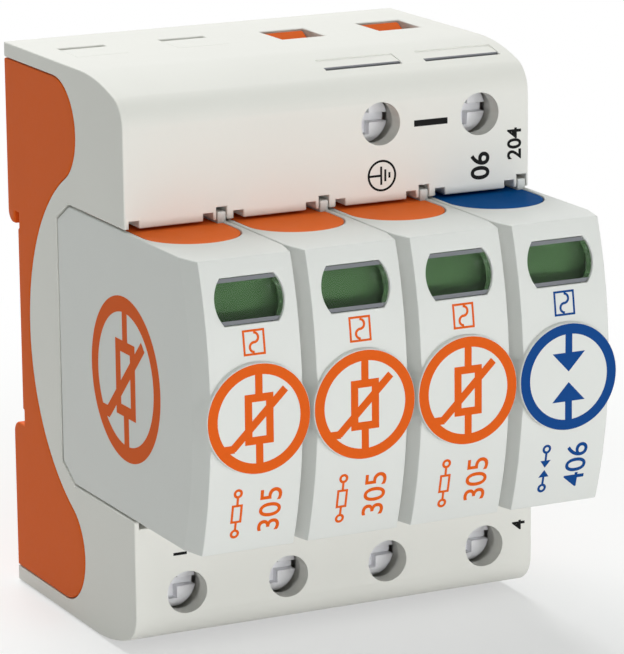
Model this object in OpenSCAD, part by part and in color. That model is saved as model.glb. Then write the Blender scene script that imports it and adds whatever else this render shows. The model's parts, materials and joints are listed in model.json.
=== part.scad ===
// Four-pole pluggable surge arrester for a 35 mm mounting rail.
// Origin at the middle of the rail seat. +Z is up and the front faces -Y.
// "Forward" sizes are distances in front of the rail plane.

/* [Row] */
// Width of one pole
pole_pitch = 17.5; // [17:0.5:20]

/* [Base] */
// Height of the base
base_height = 90; // [88:1:96]
// Height of the bay that takes the cartridges
bay_height = 45.6; // [45:0.1:47]
// Rail plane to the floor of the bay
bay_floor = 16; // [15.5:0.5:18]
// Rail plane to the front of the upper terminal block
upper_front = 43; // [42:0.5:46]
// Rail plane to the front of the lower terminal block
lower_front = 44.5; // [43:0.5:47]
// Length of the rounding between an end face and the front
corner_length = 16; // [14:0.5:17]
// Height of that rounding
corner_drop = 7; // [6:0.5:8]
// Radius of the tight arc that ends the rounding at the front
corner_r = 5; // [4:0.25:5.5]
// Thickness of the top and bottom walls
skin = 2.6; // [2:0.1:3]
// Thickness of the wall that closes the bay floor
floor_skin = 1.5; // [1.2:0.1:2]
// Gap along the joint between the two housings
seam = 0.15; // [0.1:0.05:0.3]
// Radius of the two lobes of the rear housing
lobe_r = 8.2; // [7:0.1:9]
// Rail plane to the centres of the lobes
lobe_forward = 16.2; // [15:0.1:17]
// Rail plane to the waist between the lobes
waist_forward = 3.8; // [3.6:0.1:4.5]

/* [Rail] */
// Height of the mounting rail
rail_height = 35; // [34.8:0.1:35.2]
// Thickness of the rail's lips
rail_lip = 1; // [0.9:0.1:1.3]
// Play of the rail in its grooves
rail_play = 0.2; // [0.1:0.05:0.3]
// Reach of the fixed hook over the upper lip
hook_reach = 1.8; // [1.4:0.1:2.2]
// Depth of the housing behind the rail plane
rear_reach = 4; // [3.8:0.1:5]
// Radius of the hook's rear corner
hook_r = 2; // [1:0.1:2.4]
// Relief behind the lips, so that the rail sits on the middle of the seat
lip_relief = 0.4; // [0.2:0.1:0.6]
// Width of the rail latch between its guide flanges
latch_width = 18; // [14:1:24]

/* [Terminals] */
// End face to the axis of a terminal screw
screw_inset = 9.8; // [9.5:0.1:10.5]
// Diameter of the screw's thread
screw_d = 5; // [4:0.5:5]
// Diameter of the screw's head
head_d = 7.8; // [7.4:0.1:8.2]
// Length of the screw's head
head_length = 3.1; // [2.8:0.1:3.4]
// Depth of the head behind the front of its block
head_recess = 5.5; // [5:0.1:6]
// Diameter of the screwdriver holes
access_d = 6.8; // [6.7:0.1:7.2]
// Width of a wire entry
entry_width = 7.8; // [7:0.1:7.8]
// Rail plane to the rear edge of a wire entry
entry_rear = 7.8; // [7.6:0.1:8.2]
// Length of a wire entry
entry_length = 8.8; // [8.2:0.1:9]
// Width of a clamp cage
cage_width = 10.4; // [10.2:0.1:11]
// Side wall of a clamp cage
cage_wall = 1.2; // [1:0.1:1.2]
// Height of a clamp cage
cage_height = 8; // [7:0.1:8.4]
// Travel of a clamp cage
cage_travel = 5.6; // [4.8:0.1:5.6]

/* [Contacts] */
// Mid height to the middle of a plug blade
blade_rise = 14; // [13.5:0.1:14.5]
// Height of a plug blade
blade_height = 7; // [6:0.5:7.5]
// Thickness of a plug blade
blade_t = 1; // [0.8:0.1:1.2]
// Thickness of the stamped strips
strip_t = 1.2; // [1:0.1:1.4]
// Gap between a blade and each jaw of its contact
jaw_gap = 0.15; // [0.1:0.05:0.2]

/* [Cartridge] */
// Gap between neighbouring cartridges
cartridge_gap = 0.3; // [0.2:0.05:0.5]
// Play of a cartridge in the bay, above and below
cartridge_play = 0.3; // [0.2:0.05:0.4]
// Rail plane to the crown of the front face
crown_forward = 70.6; // [69:0.2:73]
// Height of the crown over the upper and lower edges of the front face
crown_rise = 3.8; // [3:0.1:4.5]
// Length of the bevels beside the front face
bevel_length = 4.2; // [3:0.1:5]
// Width of those bevels
bevel_width = 1.05; // [0.8:0.05:1.3]
// Side wall of the shell
shell_wall = 1.4; // [1.2:0.1:1.6]
// Upper, lower and front wall of the shell
shell_end = 2.2; // [2:0.1:2.4]
// Diameter of the grip disc
grip_d = 17; // [16:0.1:17]
// Mid height down to the centre of the grip disc
grip_drop = 1.1; // [0:0.1:2]
// Height of the grip disc over the crown
grip_proud = 0.7; // [0.4:0.1:1.2]
// Width of the status window
window_width = 11.3; // [10:0.1:11.6]
// Height of the status window
window_height = 7.1; // [6:0.1:7.4]
// Mid height up to the middle of the window
window_rise = 16.4; // [15.8:0.1:16.4]
// Width of the coloured tab on top
tab_width = 15.6; // [14:0.1:15.8]
// Length of the tab that shows in front of the base
tab_show = 12.7; // [10:0.1:14]
// Thickness of the tab
tab_t = 1.1; // [0.8:0.1:1.3]

/* [Hidden] */
$fn = 72;
poles = 4;
pole_numbers = [1:poles];
line_poles = [1:poles - 1];
half_width = poles * pole_pitch / 2;
base_half = base_height / 2;
bay_half = bay_height / 2;
inner_half = base_half - skin;
past = 1;

// Rear housing: each lobe touches the top or bottom wall, and the waist arc just cuts both lobes
lobe_z = inner_half - lobe_r;
waist_step = waist_forward - lobe_forward;
waist_r = (lobe_z ^ 2 + waist_step ^ 2 - lobe_r ^ 2) / (2 * (lobe_r - waist_step));
waist_centre = waist_forward + waist_r;
arc_blend = 0.01;

// Rail seat and latch
groove_edge = rail_height / 2 + rail_play;
hook_tip = groove_edge - hook_reach - rail_play;
seat_step = 0.6;
seat_half = hook_tip - seat_step;
groove_depth = rail_lip + 2 * rail_play;
latch_gap = 0.3;
latch_rear = rear_reach - latch_gap;
latch_flange = 2;
latch_flange_t = (latch_rear - groove_depth) / 2;
latch_foot = 0.5;
latch_roof = 6;
nose_gap = 0.1;
nose_t = 0.8;
nose_ramp = 1.6;
tool_slot_half = 3.5;
tool_slot_rise = 1.6;
tool_slot_height = 2.2;
bow_rise = 18;
bow_r = 5;
bow_slot = 1;

// Terminals: forward places of the clamp's parts, from the wire entry towards the screw's head
screw_z = base_half - screw_inset;
entry_front = entry_rear + entry_length;
funnel_length = 3.4;
funnel_root = 0.5;
funnel_rise = 0.8;
funnel_drop = 0.3;
tongue_gap = 0.4;
tongue_rear = entry_front + tongue_gap;
tongue_t = 1.4;
tongue_past = 0.8;
cage_back_t = 1.4;
clamp_rest = 1;
cage_rear = tongue_rear - clamp_rest - cage_travel - cage_back_t;
cage_room = 1.6;
cage_inner_front = tongue_rear + tongue_t + cage_room;
cage_nut_t = 2;
cage_front = cage_inner_front + cage_nut_t;
screw_past = 0.8;
screw_tip = cage_inner_front - screw_past;
screw_fit = 0.05;
head_gap = 0.8;
access_t = 2.8;
chamber_skin = 7.2;
cage_gap = 1;
chamber_half = cage_width / 2 + cage_gap;
rear_room = 1.8;
bay_wall = 0.6;
chamber_rear = cage_rear - rear_room;
bay_roof = 2;
chamber_floor = bay_half + bay_roof;
strip_gap = 0.2;
strip_z = chamber_floor + strip_gap;
tongue_half = cage_width / 2 - cage_wall - tongue_gap;
tongue_end = screw_z + cage_height / 2 + tongue_past;
funnel_floor = tongue_end + strip_gap;
recess_slot = 1.4;
recess_depth = 1.6;

// Contacts: stamped strips lie in one plane behind the bay floor
strip_room = 0.4;
strip_rear = waist_forward + strip_room;
strip_front = strip_rear + strip_t;
strip_top = strip_z + strip_t + strip_room;
strip_half = 4;
jaw_t = 0.8;
jaw_past = 0.5;
jaw_half = blade_height / 2 + jaw_past;
jaw_room = 1.5;
jaw_front = bay_floor - floor_skin - jaw_room;
blade_room = 1.6;
blade_tip = strip_front + blade_room;
blade_slot_gap = 0.7;
blade_chamfer = 1.2;
fork_low = blade_rise - jaw_half;
fork_high = blade_rise + jaw_half;
neutral_gap = 1.6;
neutral_width = 4.4;
neutral_high = fork_low - neutral_gap;
neutral_low = neutral_high - neutral_width;
earth_gap = 1.2;
earth_low = fork_high + earth_gap;

// Blank pockets and marker slots in the top face
blank_depth = 0.5;
blank_shift = 1;
marker_half = 6.7;
marker_inset = 9.4;
marker_width = 4;
marker_lip = 0.8;
marker_drop = 1.9;
marker_groove = 1.2;
marker_depth = 3.2;

// Cartridge
cell_half = (pole_pitch - cartridge_gap) / 2;
cell_half_h = bay_half - cartridge_play;
cell_rear = bay_floor + cartridge_play;
mouth_edge = 0.8;
cavity_mouth = blade_rise + blade_height / 2 + mouth_edge;
rear_bevel_length = 4.7;
rear_bevel_height = cell_half_h - cavity_mouth - shell_wall;
front_r = (cell_half_h ^ 2 + crown_rise ^ 2) / (2 * crown_rise);
front_axis = crown_forward - front_r;
cavity_half = cell_half - shell_wall;
cavity_half_h = cell_half_h - shell_end;
cavity_front_r = front_r - shell_end;
grip_face = crown_forward + grip_proud;
plate_t = 1.9;
plate_gap = 0.15;
plate_slot_gap = 0.1;
window_angle = asin(window_rise / front_r);
window_margin = 0.8;
window_t = 1.2;
window_half_h = window_height / 2 + window_margin;
pane_fit = 0.02;
pane_face = sqrt(cavity_front_r ^ 2 - window_half_h ^ 2) - pane_fit;
pane_rear = pane_face - window_t;
tab_r = tab_width / 2;
tab_gap = 0.1;
tab_root = 8;
tab_rear = cell_rear + tab_root;
tab_round = upper_front + tab_show - tab_r;

// Catch rib on the cartridge, the slot for it and the notches beside it
rib_width = 1.4;
rib_inset = 0.3;
rib_edge = cell_half - rib_inset;
rib_height = 1.6;
rib_length = 13;
rib_rear = upper_front - rib_length;
rib_gap = 0.15;
rib_room = 0.7;
notch_width = 1.6;
notch_height = 1.2;
notch_depth = 4;
notch_inset = 0.9;
notch_edge = pole_pitch / 2 - notch_inset;

// Trip flag, alarm panel and spring stand behind the window
flag_room = 0.6;
flag_front = front_axis + pane_rear * cos(window_angle) - window_half_h * sin(window_angle) - flag_room;
flag_t = 1.2;
flag_gap = 0.2;
flag_top = cavity_half_h - flag_gap;
shelf_drop = 3.7;
shelf_top = window_rise - window_height / 2 - shelf_drop;
shelf_t = 1.2;
shelf_length = 5.5;
shelf_front = flag_front - flag_t - flag_room;
panel_t = 1.2;
spring_length = 10.8;
ledge_top = shelf_top - shelf_t - spring_length;
ledge_half = 3.5;
ledge_t = 1.2;
spring_r = 1.6;
spring_wire = 0.6;
spring_turns = 5;
spring_forward = shelf_front - shelf_length / 2;
block_half = 3.9;
block_room = 5.2;
block_rear = cell_rear + block_room;
block_half_h = 16;
block_round = 5;
block_gap = 2.7;
varistor_length = shelf_front - shelf_length - block_gap - block_rear;
spark_gap_less = 7;
spark_gap_length = varistor_length - spark_gap_less;
tail_t = 0.8;
tail_gap = 0.2;
tail_inset = 0.5;
tail_half = blade_height / 2 - tail_inset;
tail_length = 15;

// Terminal places: pole, end (1 is up, -1 is down) and name
UPPER_TERMINALS = [for (p = [poles - 1, poles]) [p, 1, str("upper_", p)]];
LOWER_TERMINALS = [for (p = pole_numbers) [p, -1, str("lower_", p)]];
TERMINALS = concat(UPPER_TERMINALS, LOWER_TERMINALS);

BASE_NODES = ["rear_housing", "front_housing", "rail_latch", "neutral_bar", "earth_bar"];
LINE_NODES = [for (p = line_poles) str("line_contact_", p)];
CAGE_NODES = [for (t = TERMINALS) str("clamp_cage_", t[2])];
SCREW_NODES = [for (t = TERMINALS) str("terminal_screw_", t[2])];
CELL_PIECES = [
    "cartridge_shell", "cartridge_plate", "colour_tab", "window", "trip_flag",
    "alarm_panel", "arrester_block", "upper_blade", "lower_blade", "trip_spring"
];
CELL_NODES = [for (p = pole_numbers, piece = CELL_PIECES) str(piece, "_", p)];

function pole_x(p) = (p - (poles + 1) / 2) * pole_pitch;
function block_front(end) = end > 0 ? upper_front : lower_front;
function head_face(end) = block_front(end) - head_recess;
function chamber_front(end) = block_front(end) - chamber_skin;

// A box given by its ranges across, forward and up
module slab(x, f, z) {
    translate([x[0], -f[1], z[0]])
        cube([x[1] - x[0], f[1] - f[0], z[1] - z[0]]);
}

// A round bar that points forward
module rod(x, z, f, d) {
    translate([x, -f[0], z])
        rotate([90, 0, 0])
            cylinder(d = d, h = f[1] - f[0]);
}

// A side view (forward, up) drawn out across the width
module across(x) {
    translate([x[1], 0, 0])
        rotate([90, 0, -90])
            linear_extrude(x[1] - x[0])
                children();
}

// A front view (across, up) drawn out forward
module facing(f) {
    translate([0, -f[0], 0])
        rotate([90, 0, 0])
            linear_extrude(f[1] - f[0])
                children();
}

// Moves a piece made for the upper end to a pole and an end
module at_end(p, end) {
    translate([pole_x(p), 0, 0])
        mirror([0, 0, end > 0 ? 0 : 1])
            children();
}

// Side view of one terminal block, with a long and a tight arc from the end face to the front
module end_area(front) {
    flat_end = front - corner_length;
    run = corner_length - corner_r;
    long_r = (run ^ 2 + corner_drop ^ 2 - corner_r ^ 2) / (2 * (corner_drop - corner_r));
    long_c = [flat_end, base_half - long_r];
    tight_c = [front - corner_r, base_half - corner_drop];
    aim = (tight_c - long_c) / norm(tight_c - long_c);
    meet = tight_c + corner_r * aim;
    intersection() {
        translate([-rear_reach, bay_half])
            square([front + rear_reach, base_half - bay_half]);
        union() {
            translate([-rear_reach, 0])
                square([flat_end + rear_reach, base_half]);
            intersection() {
                translate(long_c)
                    circle(r = long_r);
                polygon([long_c, long_c + [0, 2 * long_r], long_c + 2 * long_r * aim]);
            }
            translate(tight_c)
                circle(r = corner_r);
            polygon([[flat_end, 0], [front, 0], [front, tight_c[1]], tight_c, meet, [flat_end, base_half]]);
        }
    }
}

// Side view of the rear housing: two lobes and a waist, in arcs that run into each other
module rear_area(grow = 0) {
    aim = [lobe_forward - waist_centre, lobe_z] / (waist_r + lobe_r);
    meet = [waist_centre, 0] + (waist_r - grow) * aim;
    difference() {
        union() {
            translate([-rear_reach, -inner_half - grow])
                square([lobe_forward + rear_reach, 2 * (inner_half + grow)]);
            for (side = [-1, 1])
                translate([lobe_forward, side * lobe_z])
                    circle(r = lobe_r + grow);
            polygon([[lobe_forward, lobe_z], meet, [meet[0], -meet[1]], [lobe_forward, -lobe_z]]);
        }
        translate([waist_centre, 0])
            circle(r = waist_r - grow + arc_blend);
        translate([bay_floor - bay_wall + grow, -bay_half - bay_wall + grow])
            square([lobe_forward + lobe_r, bay_height + 2 * (bay_wall - grow)]);
    }
}

// Side view of the whole base
module base_area() {
    end_area(upper_front);
    mirror([0, 1])
        end_area(lower_front);
    translate([-rear_reach, -bay_half])
        square([bay_floor + rear_reach, bay_height]);
}

// Side view of the rail recess: seat, groove behind the fixed hook and room for the lower lip
module rail_area() {
    translate([-rear_reach - past, -groove_edge])
        square([rear_reach + past, groove_edge + hook_tip]);
    for (low = [-groove_edge, seat_half])
        translate([-groove_depth, low])
            square([groove_depth + lip_relief, groove_edge - seat_half]);
    hook_corner(hook_tip, 1);
    hook_corner(-groove_edge, -1);
}

// Rounds the rear corner beside the recess
module hook_corner(z, side) {
    translate([-rear_reach, z])
        mirror([0, side > 0 ? 0 : 1])
            difference() {
                translate([-past, -past])
                    square([hook_r + past, hook_r + past]);
                translate([hook_r, hook_r])
                    circle(r = hook_r);
            }
}

// Room for a terminal, from its rear wall to the room for the screw's head
module chamber(end, top) {
    slab(
        [-chamber_half, chamber_half],
        [chamber_rear, chamber_front(end)],
        [chamber_floor, top]
    );
}

// Room for the stamped strips and forks behind the bay floor
module contact_room(front) {
    fork = strip_half + strip_room;
    for (p = pole_numbers, end = [-1, 1])
        at_end(p, end)
            slab([-fork, fork], [waist_forward, front], [fork_low - strip_room, fork_high + strip_room]);
    slab(
        [pole_x(1) - fork, pole_x(poles) + fork],
        [waist_forward, strip_front + strip_room],
        [neutral_low - strip_room, fork_low]
    );
    slab(
        [pole_x(poles) - fork, pole_x(poles) + fork],
        [waist_forward, strip_front + strip_room],
        [-fork_low, fork_low]
    );
}

// Orange rear body with the rail seat, the latch guide and the rear of the terminal chambers
module rear_housing() {
    fork = strip_half + strip_room;
    color("darkorange")
        union() {
            difference() {
                across([-half_width, half_width])
                    difference() {
                        rear_area();
                        rail_area();
                    }
                for (t = TERMINALS)
                    at_end(t[0], t[1]) {
                        chamber(t[1], base_half);
                        slab([-fork, fork], [waist_forward, upper_front], [fork_low, strip_top]);
                    }
                slab(
                    [pole_x(poles - 1) - fork, pole_x(poles) + fork],
                    [waist_forward, upper_front],
                    [earth_low - strip_room, strip_top]
                );
                contact_room(upper_front);
                latch_guide();
            }
            for (t = TERMINALS)
                at_end(t[0], t[1])
                    entry_funnel();
        }
}

// Sloped lip that leads a wire from the entry into its cage
module entry_funnel() {
    half = entry_width / 2 - seam;
    lip = entry_rear + seam;
    root = chamber_rear - funnel_root;
    foot = entry_rear + funnel_length;
    across([-half, half])
        polygon([
            [root, funnel_floor], [foot, funnel_floor], [foot, inner_half + funnel_rise],
            [lip, base_half - funnel_drop], [lip, inner_half - seam], [root, inner_half - seam]
        ]);
}

// Guide for the rail latch, with undercut grooves for its flanges
module latch_guide() {
    half = latch_width / 2 + latch_gap;
    slab([-half, half], [-rear_reach - past, latch_gap - groove_depth], [-base_half - past, -seat_half]);
    slab(
        [-half - latch_flange, half + latch_flange],
        [-groove_depth - latch_flange_t - latch_gap, latch_gap - groove_depth],
        [-base_half - past, -groove_edge - latch_roof + latch_gap]
    );
}

// Grey front moulding: both terminal blocks, the web behind the bay, and the top and bottom walls
module front_housing() {
    color("gainsboro")
        difference() {
            across([-half_width, half_width])
                difference() {
                    base_area();
                    rear_area(seam);
                }
            for (t = TERMINALS)
                at_end(t[0], t[1])
                    terminal_cuts(t[1]);
            for (p = [1:poles - 2])
                at_end(p, 1)
                    blank_entry();
            for (p = [poles - 1, poles])
                at_end(p, 1)
                    marker_slot();
            for (p = pole_numbers, end = [-1, 1])
                at_end(p, end) {
                    blade_slot();
                    bay_notches(end);
                }
            contact_room(bay_floor - floor_skin);
            latch_guide();
        }
}

// Chamber, wire entry, room for the screw's head and screwdriver hole of one terminal
module terminal_cuts(end) {
    half = entry_width / 2;
    chamber(end, inner_half);
    slab([-half, half], [entry_rear, entry_front], [chamber_floor, base_half + past]);
    rod(0, screw_z, [chamber_front(end) - past, block_front(end) - access_t], head_d + 2 * head_gap);
    rod(0, screw_z, [chamber_front(end), block_front(end) + past], access_d);
}

// Shallow pocket where a pole without a terminal has its entry closed
module blank_entry() {
    half = entry_width / 2;
    rear = entry_rear - blank_shift;
    slab([-half, half], [rear, rear + entry_length], [base_half - blank_depth, base_half + past]);
}

// Marker pocket on the round of the top face: a sloped floor and a groove along its front
module marker_slot() {
    rear = upper_front - marker_inset;
    front = rear + marker_width;
    groove = front - marker_groove;
    across([-marker_half, marker_half])
        polygon([
            [rear, base_half + past], [rear, base_half - marker_lip], [groove, base_half - marker_drop],
            [groove, base_half - marker_depth], [front, base_half - marker_depth], [front, base_half + past]
        ]);
}

// Way for a plug blade through the bay floor
module blade_slot() {
    half = blade_t / 2 + blade_slot_gap;
    tall = blade_height / 2 + blade_slot_gap;
    rear = bay_floor - floor_skin - past;
    slab([-half, half], [rear, bay_floor + past], [blade_rise - tall, blade_rise + tall]);
}

// Notches in a block's edge over the bay, and the slot for the catch rib at the upper end
module bay_notches(end) {
    front = block_front(end);
    for (x = [-notch_edge, notch_edge - rib_width - 2 * rib_gap - notch_width])
        slab(
            [x, x + notch_width],
            [front - notch_depth, front + past],
            [bay_half - past, bay_half + notch_height]
        );
    if (end > 0)
        slab(
            [rib_edge - rib_width - rib_gap, rib_edge + rib_gap],
            [rib_rear - rib_room, front + past],
            [bay_half - past, cell_half_h + rib_height + rib_room]
        );
}

// Sliding latch that grips the rail's lower lip
module rail_latch() {
    half = latch_width / 2;
    foot = -base_half + latch_foot;
    nose = -hook_tip - nose_gap;
    slot = foot + tool_slot_rise;
    color("dimgray")
        difference() {
            union() {
                across([-half, half])
                    polygon([
                        [-groove_depth, foot], [-groove_depth, nose],
                        [-groove_depth - nose_t, nose], [-latch_rear, nose - nose_ramp], [-latch_rear, foot]
                    ]);
                slab(
                    [-half - latch_flange, half + latch_flange],
                    [-groove_depth - latch_flange_t, -groove_depth],
                    [foot, -groove_edge - latch_roof]
                );
            }
            slab([-tool_slot_half, tool_slot_half], [-rear_reach, 0], [slot, slot + tool_slot_height]);
            latch_spring_slots();
        }
}

// Slots that free the moulded spring bow in the latch plate
module latch_spring_slots() {
    translate([0, 0, bow_rise - base_half])
        rotate([90, 0, 0])
            linear_extrude(2 * rear_reach, center = true)
                difference() {
                    circle(r = bow_r);
                    circle(r = bow_r - bow_slot);
                    translate([-bow_r, -2 * bow_r])
                        square([2 * bow_r, 2 * bow_r]);
                }
}

// Fork that grips a plug blade, on a foot that starts at the height low
module fork(low) {
    slab([-strip_half, strip_half], [strip_rear, strip_front], [low, fork_high]);
    jaw = blade_t / 2 + jaw_gap;
    for (x = [-jaw - jaw_t, jaw])
        slab([x, x + jaw_t], [strip_front - strip_t / 2, jaw_front], [fork_low, fork_high]);
}

// Tongue of a terminal, bridged back to the strips' plane
module tongue() {
    slab([-tongue_half, tongue_half], [strip_rear, tongue_rear + tongue_t], [strip_z, strip_z + strip_t]);
    slab([-tongue_half, tongue_half], [tongue_rear, tongue_rear + tongue_t], [strip_z, tongue_end]);
}

// Strip from a fork up to the tongue's bridge
module riser() {
    slab([-tongue_half, tongue_half], [strip_rear, strip_front], [fork_high - strip_t, strip_z + strip_t]);
}

// Line terminal's tongue and the lower fork of the same pole
module line_contact(p) {
    color("goldenrod")
        at_end(p, -1) {
            fork(fork_low);
            riser();
            tongue();
        }
}

// Neutral bar: upper forks of the line poles, neutral terminal and lower fork of the last pole
module neutral_bar() {
    color("goldenrod") {
        for (p = line_poles)
            at_end(p, 1)
                fork(neutral_low);
        slab(
            [pole_x(1) - strip_half, pole_x(poles) + strip_half],
            [strip_rear, strip_front],
            [neutral_low, neutral_high]
        );
        at_end(poles, -1) {
            fork(-neutral_high);
            riser();
            tongue();
        }
    }
}

// Earth bar: both upper terminals and the upper fork of the last pole
module earth_bar() {
    color("goldenrod") {
        slab(
            [pole_x(poles - 1) - tongue_half, pole_x(poles) + tongue_half],
            [strip_rear, strip_front],
            [earth_low, strip_z + strip_t]
        );
        at_end(poles, 1) {
            fork(fork_low);
            riser();
        }
        for (p = [poles - 1, poles])
            at_end(p, 1)
                tongue();
    }
}

// Rising cage that clamps the wire against the tongue
module clamp_cage(t) {
    half = cage_width / 2;
    low = screw_z - cage_height / 2;
    high = screw_z + cage_height / 2;
    color("silver")
        at_end(t[0], t[1])
            difference() {
                slab([-half, half], [cage_rear, cage_front], [low, high]);
                slab(
                    [-half + cage_wall, half - cage_wall],
                    [cage_rear + cage_back_t, cage_inner_front],
                    [low - past, high + past]
                );
                rod(0, screw_z, [cage_inner_front - past, cage_front + past], screw_d + 2 * screw_fit);
            }
}

// Terminal screw with a combined slot and cross recess
module terminal_screw(t) {
    face = head_face(t[1]);
    color("silver")
        at_end(t[0], t[1])
            difference() {
                union() {
                    rod(0, screw_z, [screw_tip, face - head_length / 2], screw_d);
                    rod(0, screw_z, [face - head_length, face], head_d);
                }
                slab(
                    [-head_d, head_d],
                    [face - recess_depth, face + past],
                    [screw_z - recess_slot / 2, screw_z + recess_slot / 2]
                );
                slab(
                    [-recess_slot / 2, recess_slot / 2],
                    [face - recess_depth, face + past],
                    [screw_z - head_d / 3, screw_z + head_d / 3]
                );
            }
}

// Drum with bevelled rims: its round is the bulged front of a cartridge
module front_drum(r, half, length, width) {
    translate([0, -front_axis, 0])
        rotate([0, 90, 0])
            rotate_extrude()
                polygon([
                    [0, -half], [r - length, -half], [r, width - half],
                    [r, half - width], [r - length, half], [0, half]
                ]);
}

// Outer form of a cartridge
module cell_form() {
    rise = cell_half_h - rear_bevel_height;
    bevel = cell_rear + rear_bevel_length;
    intersection() {
        across([-cell_half, cell_half])
            polygon([
                [cell_rear, -rise], [bevel, -cell_half_h], [grip_face, -cell_half_h],
                [grip_face, cell_half_h], [bevel, cell_half_h], [cell_rear, rise]
            ]);
        front_drum(front_r, cell_half, bevel_length, bevel_width);
    }
}

// Hollow of a cartridge, open at the rear
module cell_cavity() {
    bevel = cell_rear + rear_bevel_length;
    step = cell_rear + plate_t;
    intersection() {
        across([-cavity_half, cavity_half])
            polygon([
                [cell_rear - past, -cavity_mouth], [step, -cavity_mouth], [bevel, -cavity_half_h],
                [grip_face, -cavity_half_h], [grip_face, cavity_half_h],
                [bevel, cavity_half_h], [step, cavity_mouth], [cell_rear - past, cavity_mouth]
            ]);
        translate([0, -front_axis, 0])
            rotate([0, 90, 0])
                cylinder(r = cavity_front_r, h = 2 * cavity_half, center = true);
    }
}

// Turns a piece made for the crown up to the middle of the window
module at_window() {
    translate([0, -front_axis, 0])
        rotate([-window_angle, 0, 0])
            children();
}

// Front view of the window: round sides, cut flat above and below
module window_area() {
    intersection() {
        circle(d = window_width);
        square([window_width, window_height], center = true);
    }
}

// Front view of the pane behind the window, with room round it
module pane_area(room) {
    square([window_width + 2 * (window_margin + room), 2 * (window_half_h + room)], center = true);
}

// Plan of the coloured tab, notched beside the catch rib
module tab_plan(gap) {
    difference() {
        union() {
            translate([-tab_r + gap, -tab_round])
                square([2 * (tab_r - gap), tab_round - tab_rear - gap]);
            translate([0, -tab_round])
                circle(r = tab_r - gap);
        }
        translate([rib_edge - rib_width - gap, -upper_front - gap])
            square([pole_pitch, upper_front]);
    }
}

// Shell of a cartridge: bulged front, grip disc, window, tab pocket, catch rib and spring shelf
module cartridge_shell(p) {
    color("whitesmoke")
        translate([pole_x(p), 0, 0])
            difference() {
                union() {
                    difference() {
                        union() {
                            cell_form();
                            rod(0, -grip_drop, [crown_forward - bevel_length - past, grip_face], grip_d);
                        }
                        cell_cavity();
                    }
                    slab(
                        [rib_edge - rib_width, rib_edge],
                        [rib_rear, upper_front],
                        [cell_half_h - tab_t, cell_half_h + rib_height]
                    );
                    slab(
                        [-cavity_half - shell_wall / 2, cavity_half + shell_wall / 2],
                        [shelf_front - shelf_length, shelf_front],
                        [shelf_top - shelf_t, shelf_top]
                    );
                }
                translate([0, 0, cell_half_h - tab_t - tab_gap / 2])
                    linear_extrude(2 * tab_t)
                        tab_plan(0);
                at_window() {
                    facing([cavity_front_r - past, front_r + past])
                        window_area();
                    facing([pane_rear - pane_fit, pane_face + pane_fit])
                        pane_area(pane_fit);
                }
            }
}

// Plate that closes the rear of a cartridge and carries its blades
module cartridge_plate(p) {
    half = cavity_half - plate_gap;
    tall = cavity_mouth - plate_gap;
    slot = blade_t / 2 + plate_slot_gap;
    slot_half = blade_height / 2 + plate_slot_gap;
    past_plate = [cell_rear - past, cell_rear + plate_t + past];
    color("gray")
        translate([pole_x(p), 0, 0])
            difference() {
                slab([-half, half], [cell_rear, cell_rear + plate_t], [-tall, tall]);
                for (z = [-blade_rise, blade_rise])
                    slab([-slot, slot], past_plate, [z - slot_half, z + slot_half]);
            }
}

// Coloured tab let into the top of a cartridge
module colour_tab(p) {
    color(p < poles ? "orangered" : "royalblue")
        translate([pole_x(p), 0, cell_half_h - tab_t])
            linear_extrude(tab_t)
                tab_plan(tab_gap);
}

// Clear pane behind the window
module window(p) {
    color("lightcyan")
        translate([pole_x(p), 0, 0])
            at_window()
                facing([pane_rear, pane_face])
                    pane_area(0);
}

// Green flag that drops when the cartridge trips, with a ledge for its spring
module trip_flag(p) {
    half = cavity_half - flag_gap;
    color("green")
        translate([pole_x(p), 0, 0]) {
            slab([-half, half], [flag_front - flag_t, flag_front], [ledge_top - ledge_t, flag_top]);
            slab(
                [-ledge_half, ledge_half],
                [shelf_front - shelf_length, flag_front - flag_t / 2],
                [ledge_top - ledge_t, ledge_top]
            );
        }
}

// Red panel that the flag uncovers
module alarm_panel(p) {
    half = cavity_half - flag_gap;
    color("red")
        translate([pole_x(p), 0, 0])
            slab([-half, half], [shelf_front - panel_t, shelf_front], [shelf_top, flag_top]);
}

// Varistor block, or the enclosed spark gap of the last pole
module arrester_block(p) {
    length = p < poles ? varistor_length : spark_gap_length;
    color(p < poles ? "steelblue" : "slategray")
        translate([pole_x(p), 0, 0])
            across([-block_half, block_half])
                rounded_area(block_rear, length, block_half_h, block_round);
}

// Rectangle with round corners in the side view
module rounded_area(rear, length, half, r) {
    translate([rear + r, -half])
        square([length - 2 * r, 2 * half]);
    translate([rear, r - half])
        square([length, 2 * (half - r)]);
    for (f = [rear + r, rear + length - r], z = [r - half, half - r])
        translate([f, z])
            circle(r = r);
}

// Plug blade with a tail that lies on the side of the arrester block
module blade() {
    low = blade_rise - blade_height / 2;
    high = blade_rise + blade_height / 2;
    jog = cell_rear + plate_t + tail_gap;
    shoulder = blade_tip + blade_chamfer;
    side = block_half + tail_t;
    across([-blade_t / 2, blade_t / 2])
        polygon([
            [blade_tip, low + blade_chamfer], [shoulder, low], [jog + tail_t, low],
            [jog + tail_t, high], [shoulder, high], [blade_tip, high - blade_chamfer]
        ]);
    slab([-blade_t / 2, side], [jog, jog + tail_t], [blade_rise - tail_half, blade_rise + tail_half]);
    slab([block_half, side], [jog, jog + tail_length], [blade_rise - tail_half, blade_rise + tail_half]);
}

module upper_blade(p) {
    color("silver")
        translate([pole_x(p), 0, 0])
            blade();
}

// The lower blade is the upper one turned half round, so that its tail lies on the other side
module lower_blade(p) {
    color("silver")
        translate([pole_x(p), 0, 0])
            rotate([0, 180, 0])
                blade();
}

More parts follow.
